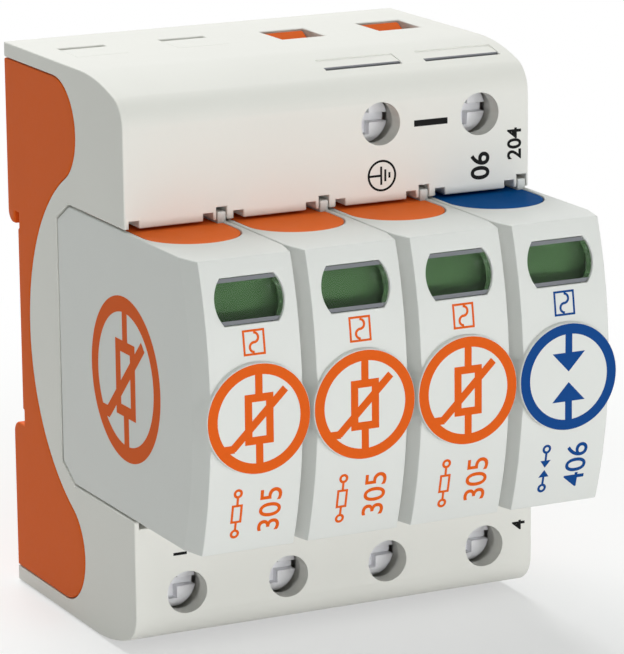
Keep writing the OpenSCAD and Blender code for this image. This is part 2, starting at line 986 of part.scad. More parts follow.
// Compression spring between the shell's shelf and the flag's ledge
module trip_spring(p) {
    color("silver")
        translate([pole_x(p), -spring_forward, ledge_top + spring_wire / 2])
            coil(spring_r, spring_wire, shelf_top - shelf_t - ledge_top - spring_wire, spring_turns);
}

// Round wire wound into a coil that stands on its end
module coil(r, wire, length, turns) {
    sides = 6;
    steps = 10 * turns;
    points = [
        for (i = [0:steps], j = [0:sides - 1])
            let (turn = 360 * turns * i / steps, round = 360 * j / sides, reach = r + wire / 2 * cos(round))
            [reach * cos(turn), reach * sin(turn), length * i / steps + wire / 2 * sin(round)]
    ];
    tube = [
        for (i = [0:steps - 1], j = [0:sides - 1], half = [0, 1])
            let (next = (j + 1) % sides, low = i * sides, high = low + sides)
            half == 0 ? [low + j, low + next, high + next] : [low + j, high + next, high + j]
    ];
    ends = [
        [for (j = [0:sides - 1]) sides - 1 - j],
        [for (j = [0:sides - 1]) steps * sides + j]
    ];
    polyhedron(points, concat(tube, ends), convexity = 4);
}

rear_housing();
front_housing();
rail_latch();
neutral_bar();
earth_bar();
for (p = line_poles) {
    line_contact(p);
}
for (t = TERMINALS) {
    clamp_cage(t);
    terminal_screw(t);
}
for (p = pole_numbers) {
    cartridge_shell(p);
    cartridge_plate(p);
    colour_tab(p);
    window(p);
    trip_flag(p);
    alarm_panel(p);
    arrester_block(p);
    upper_blade(p);
    lower_blade(p);
    trip_spring(p);
}
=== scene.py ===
"""Looks of a four-pole rail-mounted surge arrester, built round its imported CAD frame.

Metres, +Z up, the front faces -Y. The origin is the middle of the rail seat.
"""

import json
import math

import bmesh
import bpy
from mathutils import Matrix, Vector
from mathutils.bvhtree import BVHTree
from mathutils.geometry import delaunay_2d_cdt


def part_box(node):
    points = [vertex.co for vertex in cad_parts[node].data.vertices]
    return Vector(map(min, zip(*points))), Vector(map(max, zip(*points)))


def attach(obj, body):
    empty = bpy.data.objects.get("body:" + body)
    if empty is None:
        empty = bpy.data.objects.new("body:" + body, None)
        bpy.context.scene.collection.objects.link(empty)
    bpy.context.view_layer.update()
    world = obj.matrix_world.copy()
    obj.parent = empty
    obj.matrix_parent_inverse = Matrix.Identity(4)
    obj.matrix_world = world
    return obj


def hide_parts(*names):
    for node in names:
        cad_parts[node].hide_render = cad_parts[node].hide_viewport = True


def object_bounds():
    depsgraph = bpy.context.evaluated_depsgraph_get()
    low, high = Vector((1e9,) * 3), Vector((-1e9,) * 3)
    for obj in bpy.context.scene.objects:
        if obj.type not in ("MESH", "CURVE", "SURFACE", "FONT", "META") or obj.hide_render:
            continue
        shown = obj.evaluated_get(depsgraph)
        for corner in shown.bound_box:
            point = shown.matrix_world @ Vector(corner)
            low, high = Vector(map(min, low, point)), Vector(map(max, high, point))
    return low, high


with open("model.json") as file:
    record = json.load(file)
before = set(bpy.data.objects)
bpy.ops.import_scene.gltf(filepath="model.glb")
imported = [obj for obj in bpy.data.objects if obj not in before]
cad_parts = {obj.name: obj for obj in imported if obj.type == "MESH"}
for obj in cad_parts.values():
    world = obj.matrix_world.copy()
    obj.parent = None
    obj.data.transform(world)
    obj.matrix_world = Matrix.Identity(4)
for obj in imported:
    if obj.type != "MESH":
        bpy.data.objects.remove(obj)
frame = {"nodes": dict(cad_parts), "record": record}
cad_low, cad_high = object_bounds()

MM = 0.001
POLES = (1, 2, 3, 4)
MIDDLE_POLE = sum(POLES) / len(POLES)
LAST_POLE = POLES[-1]
TERMINALS = ("upper_3", "upper_4", "lower_1", "lower_2", "lower_3", "lower_4")
RECORD_SLOT = {p["node"]: p["material_slot"] for p in frame["record"]["subparts"]}
NODE_BODY = {n: b for b, nodes in frame["record"]["behaviour"]["bodies"].items() for n in nodes}

# Places on the object, read from the frame where its boxes show them
shell_low, shell_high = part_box("cartridge_shell_1")
base_low, base_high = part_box("front_housing")
POLE_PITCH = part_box("cartridge_shell_2")[0].x - shell_low.x
GRIP_FACE = shell_low.y
UPPER_FRONT = -43 * MM
LOWER_FRONT = base_low.y

# The bulged front of a cartridge is part of a drum that lies across it
CELL_HALF = (shell_high.x - shell_low.x) / 2
CELL_HALF_HEIGHT = -shell_low.z
GRIP_PROUD = 0.7 * MM
GRIP_DROP = 1.1 * MM
CROWN_RISE = 3.8 * MM
DRUM_R = (CELL_HALF_HEIGHT ** 2 + CROWN_RISE ** 2) / (2 * CROWN_RISE)
DRUM_AXIS = GRIP_FACE + GRIP_PROUD + DRUM_R
SHELL_END = 2.2 * MM

# The bay that takes the cartridges, and the bevels along their rear edges
BAY_FLOOR = -16 * MM
BAY_HALF = 22.8 * MM
PLAY = 0.3 * MM
REAR_BEVEL = (4.7 * MM, 2.8 * MM)


def pole_x(pole):
    return (pole - MIDDLE_POLE) * POLE_PITCH


# Materials. The noise scales are per metre.

PLASTIC_IOR = 1.46
INK_IOR = 1.45
PANE_IOR = 1.2  # below a real pane's, which would veil the flag with the white of the studio
TONE_SCALE = 60
GLOSS_SCALE = 900
INK_SCALE = 2600
RIPPLE_SCALE = 500


def node_tree(name):
    material = bpy.data.materials.new(name)
    material.use_nodes = True
    tree = material.node_tree
    tree.nodes.clear()
    return material, tree


def add(tree, kind, **sockets):
    """A node with its inputs set, by socket name with spaces written as underscores."""
    node = tree.nodes.new("ShaderNode" + kind)
    for key, value in sockets.items():
        node.inputs[key.replace("_", " ")].default_value = value
    return node


def mix_colour(tree, factor, first, second):
    """Mixes two colours. The node's sockets go by number, since its data types share their names."""
    node = tree.nodes.new("ShaderNodeMix")
    node.data_type = "RGBA"
    node.inputs[6].default_value = (*first, 1)
    node.inputs[7].default_value = (*second, 1)
    tree.links.new(factor, node.inputs[0])
    return node.outputs[2]


def noise(tree, scale, detail, stretch=(1, 1, 1)):
    """Noise in the piece's own frame, drawn out along an axis where its stretch is small."""
    place = tree.nodes.new("ShaderNodeTexCoord")
    mapping = add(tree, "Mapping", Scale=stretch)
    node = add(tree, "TexNoise", Scale=scale, Detail=detail)
    tree.links.new(place.outputs["Object"], mapping.inputs["Vector"])
    tree.links.new(mapping.outputs["Vector"], node.inputs["Vector"])
    return node.outputs["Fac"]


def spread(tree, value, low, high):
    """Maps a 0 to 1 value to a range."""
    node = add(tree, "MapRange", To_Min=low, To_Max=high)
    tree.links.new(value, node.inputs["Value"])
    return node.outputs["Result"]


def bump(tree, height, distance, strength):
    node = add(tree, "Bump", Distance=distance, Strength=strength)
    tree.links.new(height, node.inputs["Height"])
    return node.outputs["Normal"]


def shade(value, share):
    return tuple(c * share for c in value)


def seen_rays(tree):
    """1 for rays that show the backdrop: straight from the camera, mirrored or through glass."""
    path = tree.nodes.new("ShaderNodeLightPath")
    shown = path.outputs["Is Camera Ray"]
    for kind in ("Is Glossy Ray", "Is Transmission Ray"):
        either = tree.nodes.new("ShaderNodeMath")
        either.operation = "MAXIMUM"
        tree.links.new(shown, either.inputs[0])
        tree.links.new(path.outputs[kind], either.inputs[1])
        shown = either.outputs["Value"]
    return shown


def surface(tree, shader):
    out = add(tree, "OutputMaterial")
    tree.links.new(shader, out.inputs["Surface"])


def moulded(name, colour, rough=0.42, gloss=0.15, grain=5200, relief=0.006 * MM, drift=0.02):
    """Satin moulded plastic: slow drift of tone, eroded-tool grain and uneven gloss."""
    material, tree = node_tree(name)
    bsdf = add(tree, "BsdfPrincipled", IOR=PLASTIC_IOR, Specular_IOR_Level=gloss)
    tone = mix_colour(tree, noise(tree, TONE_SCALE, 2), shade(colour, 1 - drift), shade(colour, 1 + drift))
    uneven = spread(tree, noise(tree, GLOSS_SCALE, 4), rough - 0.06, rough + 0.06)
    tree.links.new(tone, bsdf.inputs["Base Color"])
    tree.links.new(uneven, bsdf.inputs["Roughness"])
    tree.links.new(bump(tree, noise(tree, grain, 4), relief, 0.3), bsdf.inputs["Normal"])
    surface(tree, bsdf.outputs["BSDF"])
    return material


def ink(name, colour):
    """Pad print: a thin film with a little uneven cover."""
    material, tree = node_tree(name)
    bsdf = add(tree, "BsdfPrincipled", IOR=INK_IOR, Specular_IOR_Level=0.04)
    cover = noise(tree, INK_SCALE, 5)
    tone = mix_colour(tree, cover, shade(colour, 0.95), shade(colour, 1.05))
    tree.links.new(tone, bsdf.inputs["Base Color"])
    tree.links.new(spread(tree, cover, 0.4, 0.52), bsdf.inputs["Roughness"])
    surface(tree, bsdf.outputs["BSDF"])
    return material


def metal(name, colour, rough=0.3, grain=1800, stretch=(1, 1, 1), bare=1.0):
    """Plated or stamped metal with drawn grain and uneven gloss. A dull coat lowers its bare share."""
    material, tree = node_tree(name)
    bsdf = add(tree, "BsdfPrincipled", Metallic=bare)
    drawn = noise(tree, grain, 4, stretch)
    tone = mix_colour(tree, drawn, shade(colour, 0.94), shade(colour, 1.04))
    tree.links.new(tone, bsdf.inputs["Base Color"])
    tree.links.new(spread(tree, drawn, rough - 0.05, rough + 0.06), bsdf.inputs["Roughness"])
    surface(tree, bsdf.outputs["BSDF"])
    return material


def clear_pane(name, tint):
    """Clear moulded pane. Shadow rays pass, so that what stands behind it is lit."""
    material, tree = node_tree(name)
    bsdf = add(tree, "BsdfPrincipled", IOR=PANE_IOR, Roughness=0.03, Specular_IOR_Level=0.04)
    bsdf.inputs["Transmission Weight"].default_value = 1.0
    ripple = noise(tree, RIPPLE_SCALE, 2)
    tree.links.new(mix_colour(tree, ripple, shade(tint, 0.97), tint), bsdf.inputs["Base Color"])
    through = add(tree, "BsdfTransparent", Color=(*tint, 1))
    path = tree.nodes.new("ShaderNodeLightPath")
    pick = tree.nodes.new("ShaderNodeMixShader")
    tree.links.new(path.outputs["Is Shadow Ray"], pick.inputs[0])
    tree.links.new(bsdf.outputs["BSDF"], pick.inputs[1])
    tree.links.new(through.outputs["BSDF"], pick.inputs[2])
    surface(tree, pick.outputs["Shader"])
    return material


LOOK = {
    "grey_plastic": moulded("light_grey_plastic", (0.785, 0.775, 0.735)),
    "orange_plastic": moulded("orange_plastic", (0.76, 0.13, 0.018), rough=0.45, gloss=0.04),
    "shell_plastic": moulded("cool_grey_plastic", (0.735, 0.742, 0.722), rough=0.4),
    "plate_plastic": moulded("dark_plate_plastic", (0.10, 0.105, 0.11)),
    "latch_plastic": moulded("charcoal_plastic", (0.035, 0.037, 0.04), rough=0.5),
    "orange_tab": moulded("orange_tab_plastic", (0.93, 0.175, 0.03), rough=0.4, gloss=0.01),
    "blue_tab": moulded("blue_tab_plastic", (0.003, 0.083, 0.3), rough=0.4, gloss=0.004),
    "window_clear": clear_pane("clear_window", (0.93, 0.97, 0.94)),
    "green_flag": moulded("green_flag_plastic", (0.045, 0.094, 0.0365), rough=0.5, gloss=0.05),
    "red_panel": moulded("red_panel_plastic", (0.55, 0.02, 0.015), rough=0.5),
    "varistor_coating": moulded(
        "varistor_epoxy", (0.012, 0.085, 0.26), rough=0.25, grain=900, relief=0.03 * MM
    ),
    "spark_gap_case": moulded("spark_gap_plastic", (0.02, 0.02, 0.022), rough=0.4),
    "contact_metal": metal("contact_brass", (0.80, 0.58, 0.26), stretch=(1, 1, 0.06)),
    "blade_metal": metal("tinned_blade", (0.76, 0.76, 0.74), stretch=(1, 0.06, 1)),
    "clamp_steel": metal("zinc_clamp", (0.66, 0.67, 0.68), rough=0.36),
    "screw_steel": metal("bright_screw", (0.88, 0.88, 0.905), rough=0.6, bare=0.3),
    "spring_steel": metal("spring_wire", (0.6, 0.6, 0.61), rough=0.3),
}
ORANGE_INK = ink("orange_ink", (0.74, 0.115, 0.012))
BLUE_INK = ink("blue_ink", (0.008, 0.062, 0.25))
BLACK_INK = ink("black_ink", (0.012, 0.012, 0.012))
# Dark grey that paints shade: the shade of a ledge above and below each lens, and the shadow of the gap in
# front of each marker floor
PAINTED_SHADE_GREY = moulded("painted_shade_grey", (0.19, 0.195, 0.215), rough=0.3, gloss=0.3)


# Moulded pieces, with the rounded edges that a mould leaves

HOUSING_ROUND = 0.25 * MM
LATCH_ROUND = 0.2 * MM
SHELL_ROUND = 0.22 * MM
TAB_ROUND = 0.12 * MM
TAB_SEAM = 0.13 * MM
SCREW_ROUND = 0.12 * MM
CAGE_ROUND = 0.15 * MM
ROUND_SEGMENTS = 2
WELD = 0.002 * MM  # joins the meshes of neighbouring CAD faces
TOUCH = WELD / 100  # a corner nearer than this lies on the edge
CREASE = math.radians(7)  # flatter edges are left as they are
HARD = math.radians(30)  # sharper edges are shaded as such, unless rounded
ROOM_PER_WIDTH = 2.4  # room that a full round asks of the faces beside it
LEAST_SHARE = 0.3  # with less of that room, an edge stays sharp
ACROSS_SHARE = 0.35  # how straight ahead a rim has to lie to take up room
BESIDE_SHARE = 0.2  # how far past an edge's ends a corner still takes up room


def make_piece(name, mesh, material, body):
    mesh.name = name
    mesh.materials.clear()
    mesh.materials.append(material)
    piece = bpy.data.objects.new(name, mesh)
    bpy.context.scene.collection.objects.link(piece)
    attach(piece, body)
    return piece


def number_cad_faces(bm):
    """Numbers each mesh face by its CAD face: the frame's mesh is split along the edges between those."""
    layer = bm.faces.layers.int.new("cad_face")
    seen = set()
    for start in bm.faces:
        if start in seen:
            continue
        stack = [start]
        seen.add(start)
        while stack:
            face = stack.pop()
            face[layer] = start.index
            for vert in face.verts:
                for other in vert.link_faces:
                    if other not in seen:
                        seen.add(other)
                        stack.append(other)
    return layer


def nearest_on(edge, point):
    start, end = edge.verts[0].co, edge.verts[1].co
    along = end - start
    share = max(0.0, min(1.0, (point - start).dot(along) / along.length_squared))
    return start + along * share


def room_beside(edge, face, rim, limit):
    """How far the face reaches from the edge before it meets its rim again."""
    start, end = edge.verts[0].co, edge.verts[1].co
    middle = (start + end) / 2
    length = (end - start).length
    along = (end - start) / length
    across = face.normal.cross(along)
    if across.dot(face.calc_center_median() - middle) < 0:
        across = -across
    room = limit
    for other in rim:
        if other is edge:
            continue
        near = nearest_on(other, middle) - middle
        ahead = near.dot(across)
        if ACROSS_SHARE * near.length < ahead < room:
            room = ahead
        for vert in other.verts:
            step = vert.co - start
            ahead = step.dot(across)
            beside = -BESIDE_SHARE * limit < step.dot(along) < length + BESIDE_SHARE * limit
            if beside and vert not in edge.verts and TOUCH < ahead < room:
                room = ahead
    return room


def looks_out(edge, tree, width):
    """Whether nothing of the solid stands ahead of the edge."""
    out = (edge.link_faces[0].normal + edge.link_faces[1].normal).normalized()
    middle = (edge.verts[0].co + edge.verts[1].co) / 2
    return tree.ray_cast(middle + out * width, out)[0] is None


def weigh_edges(bm, layer, width):
    """Gives every outer CAD edge one weight along its length, below 1 where a face beside it is narrow."""
    weight = bm.edges.layers.float.new("bevel_weight_edge")
    tree = BVHTree.FromBMesh(bm)
    rims = {}
    chains = {}
    for edge in bm.edges:
        if len(edge.link_faces) != 2:
            continue
        pair = tuple(sorted(face[layer] for face in edge.link_faces))
        if pair[0] == pair[1]:
            continue
        for number in pair:
            rims.setdefault(number, []).append(edge)
        angle = edge.calc_face_angle(0)
        edge.smooth = angle < HARD
        if angle > CREASE and edge.is_convex and looks_out(edge, tree, width):
            chains.setdefault(pair, []).append(edge)
    limit = ROOM_PER_WIDTH * width
    for chain in chains.values():
        room = min(room_beside(e, face, rims[face[layer]], limit) for e in chain for face in e.link_faces)
        if room < LEAST_SHARE * limit:
            continue
        for edge in chain:
            edge[weight] = room / limit
            edge.smooth = True


def softened(node, width, seam=0.0):
    """Stands for a node: the same solid with its outer edges rounded, and drawn in where it shows a seam."""
    bm = bmesh.new()
    bm.from_mesh(frame["nodes"][node].data)
    layer = number_cad_faces(bm)
    bmesh.ops.remove_doubles(bm, verts=bm.verts, dist=WELD)
    for face in bm.faces:
        face.smooth = True
    weigh_edges(bm, layer, width)
    mesh = bpy.data.meshes.new(node + "_rounded")
    bm.to_mesh(mesh)
    bm.free()
    piece = make_piece(node + "_rounded", mesh, LOOK[RECORD_SLOT[node]], NODE_BODY[node])
    rounds = piece.modifiers.new("rounds", "BEVEL")
    rounds.limit_method = "WEIGHT"
    rounds.width = width
    rounds.segments = ROUND_SEGMENTS
    rounds.use_clamp_overlap = False
    rounds.loop_slide = False
    rounds.miter_outer = "MITER_SHARP"
    if seam:
        drawn_in = piece.modifiers.new("seam", "DISPLACE")
        drawn_in.mid_level = 0.0
        drawn_in.strength = -seam
    normals = piece.modifiers.new("even_normals", "WEIGHTED_NORMAL")
    normals.keep_sharp = True
    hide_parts(node)


for node, piece in frame["nodes"].items():
    piece.data.materials.clear()
    piece.data.materials.append(LOOK[RECORD_SLOT[node]])

softened("front_housing", HOUSING_ROUND)
softened("rear_housing", HOUSING_ROUND)
softened("rail_latch", LATCH_ROUND)
for pole in POLES:
    softened("cartridge_shell_%d" % pole, SHELL_ROUND)
    softened("colour_tab_%d" % pole, TAB_ROUND, seam=TAB_SEAM)
for terminal in TERMINALS:
    softened("terminal_screw_" + terminal, SCREW_ROUND)
    softened("clamp_cage_" + terminal, CAGE_ROUND)


# Clear lenses: the pane behind a window fills it, between dark grey strips above and below that paint the
# shade of a ledge

WINDOW_WIDTH = 11.3 * MM
WINDOW_HEIGHT = 7.1 * MM
WINDOW_RISE = 16.4 * MM
WINDOW_TILT = math.asin(WINDOW_RISE / DRUM_R)
PANE_MARGIN = 0.8 * MM
PANE_T = 1.2 * MM
PANE_PLAY = 0.02 * MM
LENS_GAP = 0.1 * MM
LENS_SINK = 0.35 * MM
LENS_EDGE = 0.6 * MM
EDGE_SINK = 0.15 * MM
ARC_STEPS = 24


def closed_mesh(name, points, faces):
    mesh = bpy.data.meshes.new(name)
    mesh.from_pydata(points, [], faces)
    bm = bmesh.new()
    bm.from_mesh(mesh)
    bmesh.ops.recalc_face_normals(bm, faces=bm.faces)
    bm.to_mesh(mesh)
    bm.free()
    return mesh


def window_outline(width, height):
    """Circle cut flat above and below."""
    end = math.asin(height / width)
    turns = [end * (2 * i / ARC_STEPS - 1) for i in range(ARC_STEPS + 1)]
    turns += [math.pi + turn for turn in turns]
    return [(width / 2 * math.cos(turn), width / 2 * math.sin(turn)) for turn in turns]


def window_layers(pole, layers):
    """A closed solid square to a window, through outlines at distances from the drum's axis."""
    ahead = Vector((0, -math.cos(WINDOW_TILT), math.sin(WINDOW_TILT)))
    upward = Vector((0, math.sin(WINDOW_TILT), math.cos(WINDOW_TILT)))
    axis = Vector((pole_x(pole), DRUM_AXIS, 0))
    points = [axis + Vector((x, 0, 0)) + z * upward + r * ahead for r, outline in layers for x, z in outline]
    count = len(layers[0][1])
    faces = [list(range(count)), list(range(len(points) - count, len(points)))]
    for start in range(0, len(points) - count, count):
        for i in range(count):
            j = (i + 1) % count
            faces.append([start + i, start + j, start + count + j, start + count + i])
    return closed_mesh("window_layers", points, faces)


def add_lens(pole):
    """Stands for a pane: the same pane with a lens on it that fills the window, and two dark grey strips that
    paint the shade of a ledge above and below it.
    """
    inner_r = DRUM_R - SHELL_END
    pane_face = math.sqrt(inner_r ** 2 - (WINDOW_HEIGHT / 2 + PANE_MARGIN) ** 2) - PANE_PLAY
    lens_face = DRUM_R - LENS_SINK
    pane = window_outline(WINDOW_WIDTH + 2 * PANE_MARGIN, WINDOW_HEIGHT + 2 * PANE_MARGIN)
    lens_width, lens_half = WINDOW_WIDTH - 2 * LENS_GAP, WINDOW_HEIGHT / 2 - LENS_GAP
    lens = window_outline(lens_width, 2 * (lens_half - LENS_EDGE))
    node = "window_%d" % pole
    layers = [(pane_face - PANE_T, pane), (pane_face, pane), (pane_face, lens), (lens_face, lens)]
    mesh = window_layers(pole, layers)
    piece = make_piece(node + "_lens", mesh, LOOK["window_clear"], NODE_BODY[node])
    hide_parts(node)
    # Dark grey strips above and below the lens: painted shade of a ledge
    for side, name in ((1, "upper"), (-1, "lower")):
        near, far = side * (lens_half - LENS_EDGE), side * lens_half
        ends = [math.sqrt((lens_width / 2) ** 2 - z ** 2) for z in (near, far)]
        strip = [(-ends[0], near), (ends[0], near), (ends[1], far), (-ends[1], far)]
        mesh = window_layers(pole, [(pane_face, strip), (lens_face - EDGE_SINK, strip)])
        make_piece("%s_%s_edge" % (node, name), mesh, PAINTED_SHADE_GREY, NODE_BODY[node])


for pole in POLES:
    add_lens(pole)


# Fill pieces on the base: corners of the bay, ramps in the blank pockets and floors of the marker slots

FILL_SUNK = 0.4 * MM
FILL_PROUD = 0.012 * MM
BLANK_HALF = 3.9 * MM
BLANK_REAR = -6.8 * MM
BLANK_LENGTH = 8.8 * MM
BLANK_RAMP = 2.0 * MM
BLANK_DEPTH = 0.5 * MM
MARKER_HALF = 6.7 * MM
MARKER_REAR = UPPER_FRONT + 9.4 * MM
MARKER_WIDTH = 4.0 * MM
MARKER_GROOVE = 1.2 * MM
MARKER_SINK = 0.25 * MM
MARKER_STEP = 0.15 * MM
MARKER_FLOOR = 3.0 * MM
MARKER_GAP = 0.3 * MM
MARKER_ASIDE = 1.0 * MM
BLANK_POLES = POLES[:2]
MARKER_POLES = POLES[2:]
BASE_MESH = frame["nodes"]["front_housing"].data
BASE_TREE = BVHTree.FromPolygons([v.co for v in BASE_MESH.vertices], [p.vertices for p in BASE_MESH.polygons])
DOWN = Vector((0, 0, -1))


def fill_prism(name, x, half, section, material=LOOK["grey_plastic"]):
    """A prism across the base on a section of y and z."""
    count = len(section)
    points = [(x + side * half, y, z) for side in (-1, 1) for y, z in section]
    faces = [list(range(count)), list(range(count, 2 * count))]
    for i in range(count):
        j = (i + 1) % count
        faces.append([i, j, count + j, count + i])
    make_piece(name, closed_mesh(name, points, faces), material, "base")


def top_height(x, y):
    """Height of the base's top at a place, between its pockets."""
    return BASE_TREE.ray_cast(Vector((x, y, 2 * base_high.z)), DOWN)[0].z


def fill_bay_corner(name, side):
    """Follows the rear bevel of the cartridges at a gap."""
    length, height = REAR_BEVEL
    slope = math.hypot(length, height)
    front = BAY_FLOOR - PLAY - length + PLAY * (slope / height - length / height)
    low = BAY_HALF - PLAY - height + PLAY * (slope / length - height / length)
    section = [
        (BAY_FLOOR + FILL_SUNK, side * (BAY_HALF + FILL_SUNK)),
        (front, side * (BAY_HALF + FILL_SUNK)),
        (front, side * BAY_HALF),
        (BAY_FLOOR, side * low),
        (BAY_FLOOR + FILL_SUNK, side * low),
    ]
    fill_prism(name, 0, base_high.x + FILL_PROUD, section)


def fill_blank(pole):
    """Fills a blank pocket but for a shallow ramp at its rear."""
    top = base_high.z
    front = BLANK_REAR - BLANK_LENGTH - FILL_SUNK
    section = [
        (BLANK_REAR, top - BLANK_DEPTH - FILL_SUNK),
        (BLANK_REAR, top - BLANK_DEPTH),
        (BLANK_REAR - BLANK_RAMP, top + FILL_PROUD),
        (front, top + FILL_PROUD),
        (front, top - BLANK_DEPTH - FILL_SUNK),
    ]
    fill_prism("blank_fill_%d" % pole, pole_x(pole), BLANK_HALF + FILL_SUNK, section)


def fill_marker(pole):
    """Floor of a marker slot, with a dark grey strip in the groove along its front that paints the shadow of
    the gap.
    """
    beside = pole_x(pole) + MARKER_HALF + MARKER_ASIDE
    lip = MARKER_REAR - MARKER_WIDTH
    groove = lip + MARKER_GROOVE
    rear_z = top_height(beside, MARKER_REAR)
    step_z = top_height(beside, lip) + MARKER_STEP
    low_z = rear_z - MARKER_FLOOR
    section = [(MARKER_REAR, low_z), (MARKER_REAR, rear_z - MARKER_SINK), (groove, step_z), (groove, low_z)]
    fill_prism("marker_floor_%d" % pole, pole_x(pole), MARKER_HALF, section)
    # Dark grey strip on the groove's front wall: painted shadow of the gap
    front = groove - MARKER_GAP
    gap_shadow_strip = [(groove, low_z), (groove, step_z), (front, step_z - MARKER_STEP), (front, low_z)]
    fill_prism("marker_seal_%d" % pole, pole_x(pole), MARKER_HALF, gap_shadow_strip, PAINTED_SHADE_GREY)


fill_bay_corner("bay_corner_upper", 1)
fill_bay_corner("bay_corner_lower", -1)
for pole in BLANK_POLES:
    fill_blank(pole)
for pole in MARKER_POLES:
    fill_marker(pole)


# Prints: thin films of ink, drawn flat in millimetres and laid on a face

PROUD = 0.03
SUNK = 0.02
ROUND_STEPS = 72
BEND_STEP = 1.0
MERGE = 1e-4
DIGIT_PER_SIZE = 0.73
RING_SHARE = 0.81
LEAD_SHARE = 0.83


def box_shape(left, right, low, high):
    return [[(left, low), (right, low), (right, high), (left, high)]]


def frame_shape(left, right, low, high, line):
    """Outline of a rectangle, drawn inside it."""
    return (
        box_shape(left, right, low, low + line)
        + box_shape(left, right, high - line, high)
        + box_shape(left, left + line, low, high)
        + box_shape(right - line, right, low, high)
    )


def ring_shape(x, z, inner, outer):
    def place(step, r):
        turn = 2 * math.pi * step / ROUND_STEPS
        return (x + r * math.cos(turn), z + r * math.sin(turn))

    steps = range(ROUND_STEPS)
    return [[place(i, inner), place(i, outer), place(i + 1, outer), place(i + 1, inner)] for i in steps]


def line_shape(start, end, line):
    along = (Vector(end) - Vector(start)).normalized()
    side = Vector((-along.y, along.x)) * line / 2
    first, last = Vector(start), Vector(end)
    return [[tuple(p) for p in (first - side, last - side, last + side, first + side)]]


def digits(text, height, x, z, weight):
    """Plain digits that read upwards, centred on a place, as triangles."""
    curve = bpy.data.curves.new("digits", "FONT")
    curve.body = text
    curve.align_x = "CENTER"
    curve.align_y = "CENTER"
    curve.size = height / DIGIT_PER_SIZE
    curve.offset = weight
    holder = bpy.data.objects.new("digits", curve)
    mesh = bpy.data.meshes.new_from_object(holder)
    mesh.calc_loop_triangles()
    corners = [(x - v.co.y, z + v.co.x) for v in mesh.vertices]
    triangles = [[corners[v] for v in t.vertices] for t in mesh.loop_triangles]
    bpy.data.objects.remove(holder)
    bpy.data.curves.remove(curve)
    bpy.data.meshes.remove(mesh)
    return triangles


def moved(shape, x, z):
    return [[(p[0] + x, p[1] + z) for p in polygon] for polygon in shape]


def merged(shape):
    """Triangles that cover overlapping shapes once."""
    points = [Vector(p) for polygon in shape for p in polygon]
    faces = []
    for polygon in shape:
        start = sum(len(face) for face in faces)
        faces.append(list(range(start, start + len(polygon))))
    corners, _, triangles, _, _, origin = delaunay_2d_cdt(points, [], faces, 0, MERGE, True)
    return [[corners[v] for v in t] for t, source in zip(triangles, origin) if source]


def flat_film(triangles, bent):
    """A flat mesh of the triangles, cut into rows where it has to bend."""
    bm = bmesh.new()
    for triangle in triangles:
        bm.faces.new([bm.verts.new((p[0], p[1], 0)) for p in triangle])
    bmesh.ops.remove_doubles(bm, verts=bm.verts, dist=MERGE)
    if bent:
        heights = [v.co.y for v in bm.verts]
        for row in range(math.ceil(min(heights) / BEND_STEP), math.ceil(max(heights) / BEND_STEP)):
            geometry = bm.verts[:] + bm.edges[:] + bm.faces[:]
            bmesh.ops.bisect_plane(bm, geom=geometry, plane_co=(0, row * BEND_STEP, 0), plane_no=(0, 1, 0))
    bmesh.ops.recalc_face_normals(bm, faces=bm.faces)
    for face in bm.faces:
        if face.normal.z < 0:
            face.normal_flip()
    return bm


def printed(name, triangles, place, body, material, bent=False):
    """Lays triangles on the object as a closed film. The place turns x, z and height into a point."""
    bm = flat_film(triangles, bent)
    bm.verts.index_update()
    count = len(bm.verts)
    points = [place(v.co.x, v.co.y, out) for out in (PROUD, -SUNK) for v in bm.verts]
    faces = []
    for face in bm.faces:
        loop = [v.index for v in face.verts]
        faces.append(loop)
        faces.append([v + count for v in reversed(loop)])
    for edge in bm.edges:
        if edge.is_boundary:
            end = edge.link_loops[0].vert.index
            start = edge.link_loops[0].link_loop_next.vert.index
            faces.append([start, end, end + count, start + count])
    bm.free()
    mesh = bpy.data.meshes.new(name)
    mesh.from_pydata(points, [], faces)
    mesh.update()
    make_piece(name, mesh, material, body)


def on_front(x, y):
    """A flat face that looks forward. Heights on it are the object's own."""
    return lambda u, v, out: Vector((x + u * MM, y - out * MM, v * MM))


def on_drum(x):
    """The bulged front of a cartridge."""

    def place(u, v, out):
        r = DRUM_R + out * MM
        return Vector((x + u * MM, DRUM_AXIS - math.sqrt(r * r - (v * MM) ** 2), v * MM))

    return place


def on_left(x, y, z):
    """A flat face that looks left, with a middle for its print."""
    return lambda u, v, out: Vector((x - out * MM, y - u * MM, z + v * MM))


def varistor_sign(r, line):
    """Ring with a resistor that depends on voltage."""
    half, tall = 0.28 * r, 0.46 * r
    foot = 0.22 * r
    slant = (0.52 * r, 0.5 * r)
    return (
        ring_shape(0, 0, RING_SHARE * r, r)
        + frame_shape(-half, half, -tall, tall, line)
        + box_shape(-line / 2, line / 2, tall, LEAD_SHARE * r)
        + box_shape(-line / 2, line / 2, -LEAD_SHARE * r, -tall)
        + line_shape((-slant[0], -slant[1]), slant, line)
        + line_shape((-slant[0] - foot, -slant[1]), (-slant[0] + line / 4, -slant[1]), line)
    )


def spark_gap_sign(r, line):
    """Ring with two electrodes that face each other across a gap."""
    gap, wide, tip = 0.1 * r, 0.34 * r, 0.46 * r
    shape = ring_shape(0, 0, RING_SHARE * r, r)
    for side in (-1, 1):
        arrow = [(-wide, side * tip), (0, side * gap), (wide, side * tip)]
        shape.append(arrow if side > 0 else arrow[::-1])
        low, high = sorted((side * tip, side * LEAD_SHARE * r))
        shape += box_shape(-line / 2, line / 2, low, high)
    return shape


def wave_shape(half, r, line):
    """Alternating current: two half rings side by side, read upwards."""
    shape = []
    for z, turned in ((-half, 1), (half, -1)):
        ring = ring_shape(0, z, r - line / 2, r + line / 2)
        shape += [quad for quad in ring if turned * sum(p[0] for p in quad) < 0]
    return shape


